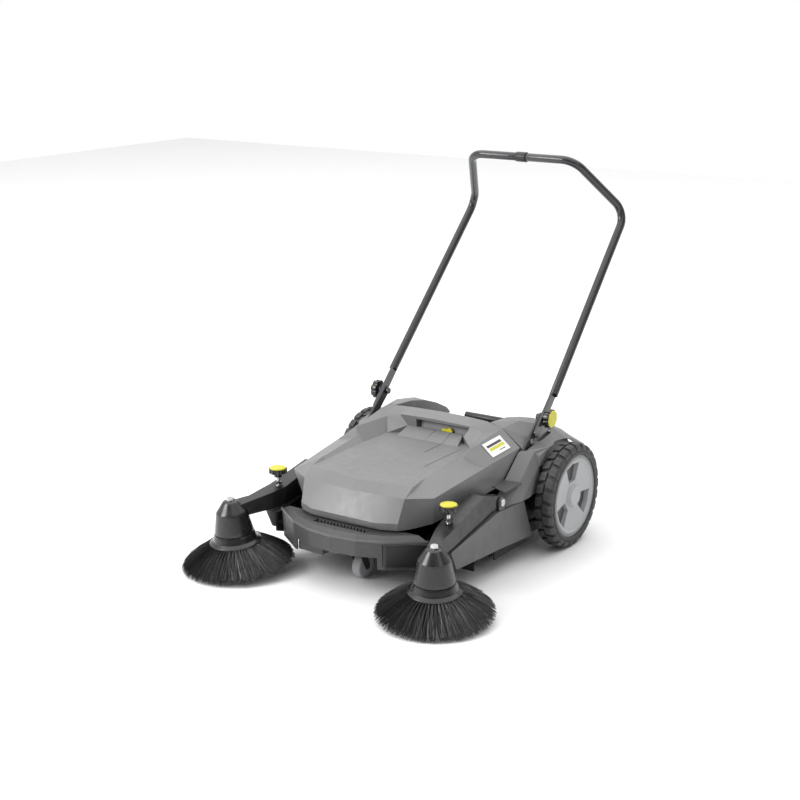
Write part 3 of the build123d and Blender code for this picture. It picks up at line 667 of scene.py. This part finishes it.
# ---- drive wheels -------------------------------------------------------
@dataclass
class DriveWheel:
    """A rear wheel: a lugged tyre on a moulded rim with three recessed windows."""

    side: Side
    lugs: int = 26
    lug_depth: float = 0.0066
    lug_share: float = 0.34
    lug_skew: float = 0.16
    windows: tuple[float, ...] = (95.0, 215.0, 335.0)
    window_depth: float = 0.0228
    window_middle: float = 68.0
    window_outline: Profile = ((-27, -17), (20, -36), (27, 0), (20, 36), (-27, 17))
    wall_height: float = 0.0316

    def build(self) -> None:
        """Builds the tyre and dresses the rim."""
        tag = self.side.tag
        low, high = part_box(f"tyre_{tag}")
        self.centre = (low + high) / 2
        self.radius = (high.z - low.z) / 2
        self.inner, self.outer = sorted((low.x, high.x), key=abs)
        self._tyre()
        keep(f"rim_{tag}", RIM_GREY, 0.0022, 28)
        self._trim()
        keep(f"hub_cap_{tag}", RIM_GREY, 0.0012, 30)
        keep(f"axle_stub_{tag}", ZINC, 0.0008, 40)
        LOG.info("drive wheel %s built", tag)

    def _frame(self) -> Matrix:
        """Frame on the axle with Z pointing outwards and its origin at the inner face."""
        sign = self.side.value
        return axis_frame((self.inner, self.centre.y, self.centre.z), (sign, 0, 0))

    def _tyre(self) -> None:
        """Carcass with shoulder lugs in two staggered rows and a ribbed side wall."""
        width = abs(self.outer - self.inner)
        bead = self.radius - self.wall_height
        base = self.radius - self.lug_depth
        outline = [(bead, 0.003), (bead + 0.006, 0.0005), (base - 0.012, 0.0), (base - 0.003, 0.004),
                   (base, 0.010), (base + 0.0008, width / 2), (base, width - 0.010),
                   (base - 0.003, width - 0.004),
                   (base - 0.012, width - 0.0012), (bead + 0.012, width - 0.0012), (bead + 0.010, width),
                   (bead + 0.004, width), (bead, width - 0.003)]
        seat = self._frame()
        shape = Shape().turned(outline, seat, 128)
        pitch = 2 * math.pi / self.lugs
        edge = 0.0012
        for index in range(self.lugs):
            half, skew = pitch * self.lug_share, pitch * self.lug_skew
            self._lug(shape, seat, pitch * index, half, width * 0.55, width - edge, skew, base)
            self._lug(shape, seat, pitch * (index + 0.5), half, edge, width * 0.45, -skew, base)
        tag = self.side.tag
        piece(f"lugged_tyre_{tag}", shape, TYRE_RUBBER, f"wheel_{tag}", f"tyre_{tag}", slot="tread_rubber",
              angle=25)

    def _trim(self) -> None:
        """The outer bead of the rim, lightened as a painted highlight, and the floors of its windows,
        darkened as painted shade.
        """
        seat = self._frame()
        width = abs(self.outer - self.inner)
        # Painted highlight: the bead ring takes a lighter grey than the rest of the rim.
        bead = Shape().turned([(0.1005, width - 0.0085), (0.104, width - 0.0035), (0.109, width - 0.0018),
                               (0.1135, width - 0.0035), (0.1135, width - 0.009)], seat, 96)
        tag = self.side.tag
        piece(f"rim_bead_{tag}", bead, BEAD_HIGHLIGHT_GREY, f"wheel_{tag}", slot="rim_grey", angle=50)
        # Painted shade: thin dark floors laid in the rim's recessed windows.
        floors = Shape()
        for degrees in self.windows:
            turn = math.radians(degrees)
            rings = []
            for depth in (self.window_depth + 0.0012, self.window_depth + 0.0002):
                ring = []
                for out, z in self.window_outline:
                    y = self.window_middle + out
                    ring.append(Vector((self.outer - self.side.value * depth,
                                        self.centre.y + (y * math.cos(turn) - z * math.sin(turn)) * MM,
                                        self.centre.z + (y * math.sin(turn) + z * math.cos(turn)) * MM)))
                rings.append(ring)
            floors.loops(rings)
        piece(f"window_floors_{tag}", floors, WINDOW_SHADE_GREY, f"wheel_{tag}", slot="rim_grey")

    def _lug(self, shape: Shape, seat: Matrix, middle: float, half: float, low: float, high: float,
             skew: float, base: float) -> None:
        """Adds one tread lug.

        Args:
            shape: The tyre's shape.
            seat: The wheel's frame.
            middle: Angle of its middle, in radians.
            half: Half its angle, in radians.
            low: Its inner end along the axle, in metres.
            high: Its outer end along the axle, in metres.
            skew: Angle by which the far end is turned on.
            base: Radius of the carcass, in metres.
        """
        steps = 3
        shoulder_low = low < high - low
        rings = []
        for share in (0.0, 0.22, 0.5, 0.78, 1.0):
            height = low + (high - low) * share
            at_edge = share == 0.0 if shoulder_low else share == 1.0
            near = share == 0.22 if shoulder_low else share == 0.78
            top = self.radius - (0.011 if at_edge else 0.0015 if near else 0.0)
            foot = base - 0.016 if at_edge else base - 0.004
            lean = skew * (share - 0.5)
            angles = [middle + lean - half + 2 * half * step / steps for step in range(steps + 1)]
            ring = [seat @ Vector((top * math.cos(a), top * math.sin(a), height)) for a in angles]
            ring += [seat @ Vector((foot * math.cos(a), foot * math.sin(a), height))
                     for a in reversed(angles)]
            rings.append(ring)
        shape.loops(rings)


# ---- side brushes -------------------------------------------------------
@dataclass
class SideBrush:
    """A tilted side brush under its bell, on a lifting arm."""

    side: Side
    tip_radius: float = 0.1565
    tufts: int = 58
    per_tuft: int = 36
    root_radius: float = 0.060
    root_height: float = 0.064
    strand_radius: float = 0.00075
    strand_faces: int = 14
    grey_share: float = 0.38
    layers: tuple[Point, ...] = ((1.0, 1.28, 1.0), (0.93, 1.2, 0.86), (0.82, 1.1, 0.7))

    def build(self) -> None:
        """Builds the bristles and dresses the arm, bell and bolt."""
        tag = self.side.tag
        joint = JOINTS[f"brush_{tag}_spin"]
        self.seat = axis_frame(joint["pos_m"], joint["axis"])
        self._bristles()
        keep(f"brush_plate_{tag}", BELL_BLACK, 0.0016, 25)
        keep(f"brush_head_{tag}", BELL_BLACK, 0.0018, 25)
        keep(f"head_bolt_{tag}", ZINC, 0.0009, 35)
        keep(f"side_arm_{tag}", BLACK_PLASTIC, 0.0026, 20)
        LOG.info("side brush %s built", tag)

    def _bristles(self) -> None:
        """Tufts of strands that fan out, droop and end on the cutting circle."""
        draw = random.Random(7 + self.side.value)
        shape = Shape()
        for layer, (reach, droop, root) in enumerate(self.layers):
            for tuft in range(self.tufts):
                centre = 2 * math.pi * (tuft + 0.33 * layer) / self.tufts
                for _ in range(self.per_tuft if layer == 0 else self.per_tuft // 2):
                    self._bristle(shape, draw, centre, reach, droop, root)
        made = piece(f"bristle_tufts_{self.side.tag}", shape, BRISTLE, f"brush_{self.side.tag}",
                     f"brush_bristles_{self.side.tag}", slot="bristle_black", angle=80)
        # Painted sheen: a random share of the strands take the grey copy of the bristle material.
        made.data.materials.append(BRISTLE_SHEEN.material())
        count = len(made.data.polygons)
        shades = [0 if draw.random() < 1 - self.grey_share else 1
                  for _ in range(count // self.strand_faces + 1)]
        made.data.polygons.foreach_set(
            "material_index", [shades[face // self.strand_faces] for face in range(count)])

    def _bristle(self, shape: Shape, draw: random.Random, centre: float, reach: float, droop: float,
                 root: float) -> None:
        """Adds one bristle of a tuft.

        Args:
            shape: The shape of the whole brush.
            draw: The seeded source of chance.
            centre: The tuft's angle in radians.
            reach: Share of the tip circle that the layer reaches.
            droop: How late the bristle bends down.
            root: Share of the root radius where it starts.
        """
        spread = math.pi / self.tufts
        start = centre + draw.uniform(-0.5, 0.5) * spread
        end = centre + draw.gauss(0, 0.85) * spread
        level = draw.random()
        tip = self.tip_radius * reach * (1 - 0.05 * draw.random() - 0.05 * level)
        end_height = 0.001 + 0.014 * level * reach + 0.002 * draw.random()
        begin = self.root_radius * root + 0.008 * draw.random()
        top = self.root_height - 0.010 * (1 - level) * draw.random() - 0.004 * (1 - root)
        path = []
        for share in (0.0, 0.28, 0.58, 0.82, 1.0):
            radius = begin + (tip - begin) * share
            height = top + (end_height - top) * share ** droop
            angle = start + (end - start) * share
            path.append(self.seat @ Vector((radius * math.cos(angle), radius * math.sin(angle), height)))
        strand(shape, path, self.strand_radius, self.strand_radius * 0.55)


# ---- knobs --------------------------------------------------------------
@dataclass
class Knobs:
    """The star knobs of the lifting arms and the handle clamps on one side."""

    side: Side
    dots: int = 5
    threads: int = 14
    thread_foot: float = 0.1875
    thread_pitch: float = 0.0017
    thread_rise: float = 0.0008

    def build(self) -> None:
        """Dresses the grips and turns their yellow caps."""
        tag = self.side.tag
        keep(f"lift_knob_{tag}", BELL_BLACK, 0.0012, 30)
        keep(f"clamp_knob_{tag}", BELL_BLACK, 0.0016, 30)
        low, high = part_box(f"lift_cap_{tag}")
        base = Vector(((low.x + high.x) / 2, (low.y + high.y) / 2, low.z))
        self._cap(f"lift_button_{tag}", axis_frame(base, (0, 0, 1)), (high.x - low.x) / 2, high.z - low.z,
                  f"lift_knob_{tag}", f"lift_cap_{tag}")
        self._screw((low.x + high.x) / 2, (low.y + high.y) / 2, f"lift_knob_{tag}")
        low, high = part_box(f"clamp_cap_{tag}")
        near = min((low.x, high.x), key=abs)
        base = Vector((near, (low.y + high.y) / 2, (low.z + high.z) / 2))
        self._cap(f"clamp_button_{tag}", axis_frame(base, (self.side.value, 0, 0)), (high.z - low.z) / 2,
                  high.x - low.x, f"clamp_knob_{tag}", f"clamp_cap_{tag}")
        LOG.info("knobs %s built", tag)

    def _screw(self, x: float, y: float, body: str) -> None:
        """Turns the zinc screw between the knob and the arm, with its threads and collar.

        Args:
            x: Its place across the machine, in metres.
            y: Its place along the machine, in metres.
            body: The body that it rides on.
        """
        outline = [(0.0035, 0.186)]
        for turn in range(self.threads):
            height = self.thread_foot + turn * self.thread_pitch
            outline += [(0.0052, height), (0.0059, height + self.thread_rise)]
        outline += [(0.0085, 0.2125), (0.0085, 0.2155), (0.0052, 0.216), (0.0052, 0.234), (0.0035, 0.2342)]
        shape = Shape().turned(outline, Matrix.Translation((x, y, 0)), 24)
        piece(f"lift_screw_{self.side.tag}", shape, ZINC, body, angle=40)

    def _cap(self, name: str, seat: Matrix, radius: float, height: float, body: str, node: str) -> None:
        """Turns a cap with a rounded rim, a shallow ring groove and raised dots.

        Args:
            name: The piece's name.
            seat: Frame in the middle of its underside, with Z outwards.
            radius: Its radius in metres.
            height: Its height in metres.
            body: The body that it rides on.
            node: The node that it stands for.
        """
        profile = ((1.0, 0.0), (1.0, 0.45), (0.97, 0.8), (0.92, 0.92), (0.74, 0.94), (0.71, 0.74),
                   (0.66, 0.74), (0.63, 0.9))
        outline = [(radius * out, height * up) for out, up in profile]
        outline = [(0.0002, 0.0), *outline, (0.0002, height * 0.92)]
        shape = Shape().turned(outline, seat, 48)
        dot = [(0.0001, 0.0), (radius * 0.1, 0.0), (radius * 0.08, height * 0.1), (0.0001, height * 0.1)]
        for index in range(self.dots):
            angle = 2 * math.pi * index / self.dots + 0.3
            ring = radius * 0.38
            place = Matrix.Translation((ring * math.cos(angle), ring * math.sin(angle), height * 0.9))
            shape.turned(dot, seat @ place, 12)
        piece(name, shape, YELLOW, body, node, slot="yellow_plastic", angle=25)


# ---- handle, caster, roller, container ----------------------------------
@dataclass
class PushHandle:
    """The bent tube handle with its middle sleeve."""

    def build(self) -> None:
        """Dresses the tubes and the sleeve."""
        for side in Side:
            keep(f"handle_tube_{side.tag}", TUBE_PAINT, 0.0008, 35)
        keep("handle_sleeve", BLACK_PLASTIC, 0.001, 35)
        keep("selector_knob", YELLOW, 0.0012, 35)
        LOG.info("push handle built")


@dataclass
class MainRoller:
    """The sweeping roller with spiral rows of bristles, its carrier and its belt."""

    rows: int = 8
    tufts: int = 76
    per_tuft: int = 4
    twist: float = 0.9
    core_radius: float = 0.0465
    strand_root: float = 0.0011
    strand_tip: float = 0.0008

    def build(self) -> None:
        """Builds the bristles and dresses the drive."""
        self._bristles()
        keep("roller_core", BLACK_PLASTIC, 0.001, 35)
        keep("roller_pulley", BLACK_PLASTIC, 0.0006, 35)
        keep("wheel_pulley", BLACK_PLASTIC, 0.0006, 35)
        keep("roller_carrier", FRAME_PAINT, 0.0008, 35)
        keep("roller_bearings", ZINC, 0.0005, 35)
        keep("drive_belt", BELT)
        LOG.info("main roller built")

    def _bristles(self) -> None:
        """Rows of short strands that wind round the core."""
        low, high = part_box("roller_bristles")
        centre = (low + high) / 2
        radius = (high.z - low.z) / 2 - 0.0008
        half = (high.x - low.x) / 2 - 0.002
        draw = random.Random(21)
        shape = Shape()
        for row in range(self.rows):
            for tuft in range(self.tufts):
                along = -half + 2 * half * (tuft + 0.5) / self.tufts
                base = 2 * math.pi * row / self.rows + self.twist * along / half
                for _ in range(self.per_tuft):
                    angle = base + draw.gauss(0, 0.035)
                    x = along + draw.uniform(-0.002, 0.002)
                    outward = Vector((0.0, math.cos(angle), math.sin(angle)))
                    root = centre + Vector((x, 0.0, 0.0))
                    strand(shape, [root + outward * reach for reach in (self.core_radius, radius)],
                           self.strand_root, self.strand_tip)
        piece("roller_tufts", shape, BRISTLE, "main_roller", "roller_bristles", slot="bristle_black",
              angle=80)


@dataclass
class Caster:
    """The front caster on its zinc plate."""

    def build(self) -> None:
        """Dresses the caster."""
        keep("caster_plate", ZINC, 0.0008, 35)
        keep("caster_fork", FRAME_PAINT, 0.0008, 35)
        keep("caster_wheel", CASTER_TREAD, 0.0022, 30)
        LOG.info("caster built")


@dataclass
class Container:
    """The pull-out dirt container with its grip."""

    def build(self) -> None:
        """Dresses the container."""
        keep("container", CONTAINER_GREY, 0.003, 35)
        keep("container_grip", BLACK_PLASTIC, 0.0012, 35)
        LOG.info("container built")


# ---- studio -------------------------------------------------------------
@dataclass
class Studio:
    """Pale floor, soft lights and the camera."""

    azimuth: float = 34.13
    elevation: float = 15.29
    roll: float = -0.13
    place: Point = (2.2981, -3.5508, 1.5685)
    lens: float = 71.05
    dim_side: Point = (0.8, -0.6, 0.0)
    floor_half: float = 8.0

    def build(self) -> None:
        """Makes the floor, the lights and the camera."""
        self._floor()
        self._world()
        self._light("key_softbox", (-2.2, -3.2, 2.6), (0.0, -0.2, 0.25), 1.9, 105.0)
        self._light("fill_softbox", (3.6, -1.0, 2.6), (0.0, 0.0, 0.3), 1.6, 12.0)
        self._light("top_softbox", (-0.4, 0.8, 7.0), (-0.4, 0.8, 0.0), 13.0, 600.0)
        self._camera()
        LOG.info("studio built")

    def _floor(self) -> None:
        """The pale floor."""
        half = self.floor_half
        mesh = bpy.data.meshes.new("studio_floor")
        corners = [(-half, -half, 0), (half, -half, 0), (half, half, 0), (-half, half, 0)]
        mesh.from_pydata(corners, [], [(0, 1, 2, 3)])
        floor = bpy.data.objects.new("studio_floor", mesh)
        bpy.context.scene.collection.objects.link(floor)
        mesh.materials.append(FLOOR_PAINT.material())

    def _world(self) -> None:
        """Pale light from all round, dimmer on one side."""
        world = bpy.data.worlds.new("studio_world")
        world.use_nodes = True
        sky = world.node_tree.nodes["Background"]
        sky.inputs["Color"].default_value = (1.0, 1.0, 1.0, 1.0)
        tree = world.node_tree
        toward = tree.nodes.new("ShaderNodeVectorMath")
        toward.operation = "DOT_PRODUCT"
        toward.inputs[1].default_value = self.dim_side
        tree.links.new(tree.nodes.new("ShaderNodeTexCoord").outputs["Generated"], toward.inputs[0])
        level = mapped(tree, toward.outputs["Value"], (-0.35, 0.75), (1.0, 0.3))
        level.node.interpolation_type = "SMOOTHSTEP"
        tree.links.new(level, sky.inputs["Strength"])
        bpy.context.scene.world = world
        bpy.context.scene.view_settings.view_transform = "Standard"

    def _light(self, name: str, place: Point, target: Point, size: float, watts: float) -> None:
        """Adds a square soft light.

        Args:
            name: Its name.
            place: Where it hangs.
            target: What it points at.
            size: Its edge in metres.
            watts: Its power.
        """
        lamp = bpy.data.lights.new(name, "AREA")
        lamp.size = size
        lamp.energy = watts
        made = bpy.data.objects.new(name, lamp)
        made.location = place
        made.rotation_euler = (Vector(target) - Vector(place)).to_track_quat("-Z", "Y").to_euler()
        bpy.context.scene.collection.objects.link(made)

    def _camera(self) -> None:
        """The camera, from the front and the machine's right."""
        turn, rise = math.radians(self.azimuth), math.radians(self.elevation)
        back = Vector((math.sin(turn) * math.cos(rise), -math.cos(turn) * math.cos(rise), math.sin(rise)))
        right = Vector((math.cos(turn), math.sin(turn), 0.0))
        up = back.cross(right)
        basis = Matrix((right, up, back)).transposed()
        basis = Matrix.Rotation(math.radians(self.roll), 3, back) @ basis
        lens = bpy.data.cameras.new("studio_camera")
        lens.lens = self.lens
        lens.sensor_width = 36.0
        lens.clip_end = 100.0
        made = bpy.data.objects.new("studio_camera", lens)
        made.matrix_world = Matrix.Translation(self.place) @ basis.to_4x4()
        bpy.context.scene.collection.objects.link(made)
        bpy.context.scene.camera = made


def main() -> None:
    """Builds every sub-assembly in order."""
    logging.basicConfig(level=logging.INFO, format="%(name)s: %(message)s")
    Hood().build()
    Chassis().build()
    for side in Side:
        DriveWheel(side).build()
        SideBrush(side).build()
        Knobs(side).build()
    PushHandle().build()
    MainRoller().build()
    Caster().build()
    Container().build()
    Studio().build()


if __name__ == "__main__":
    main()
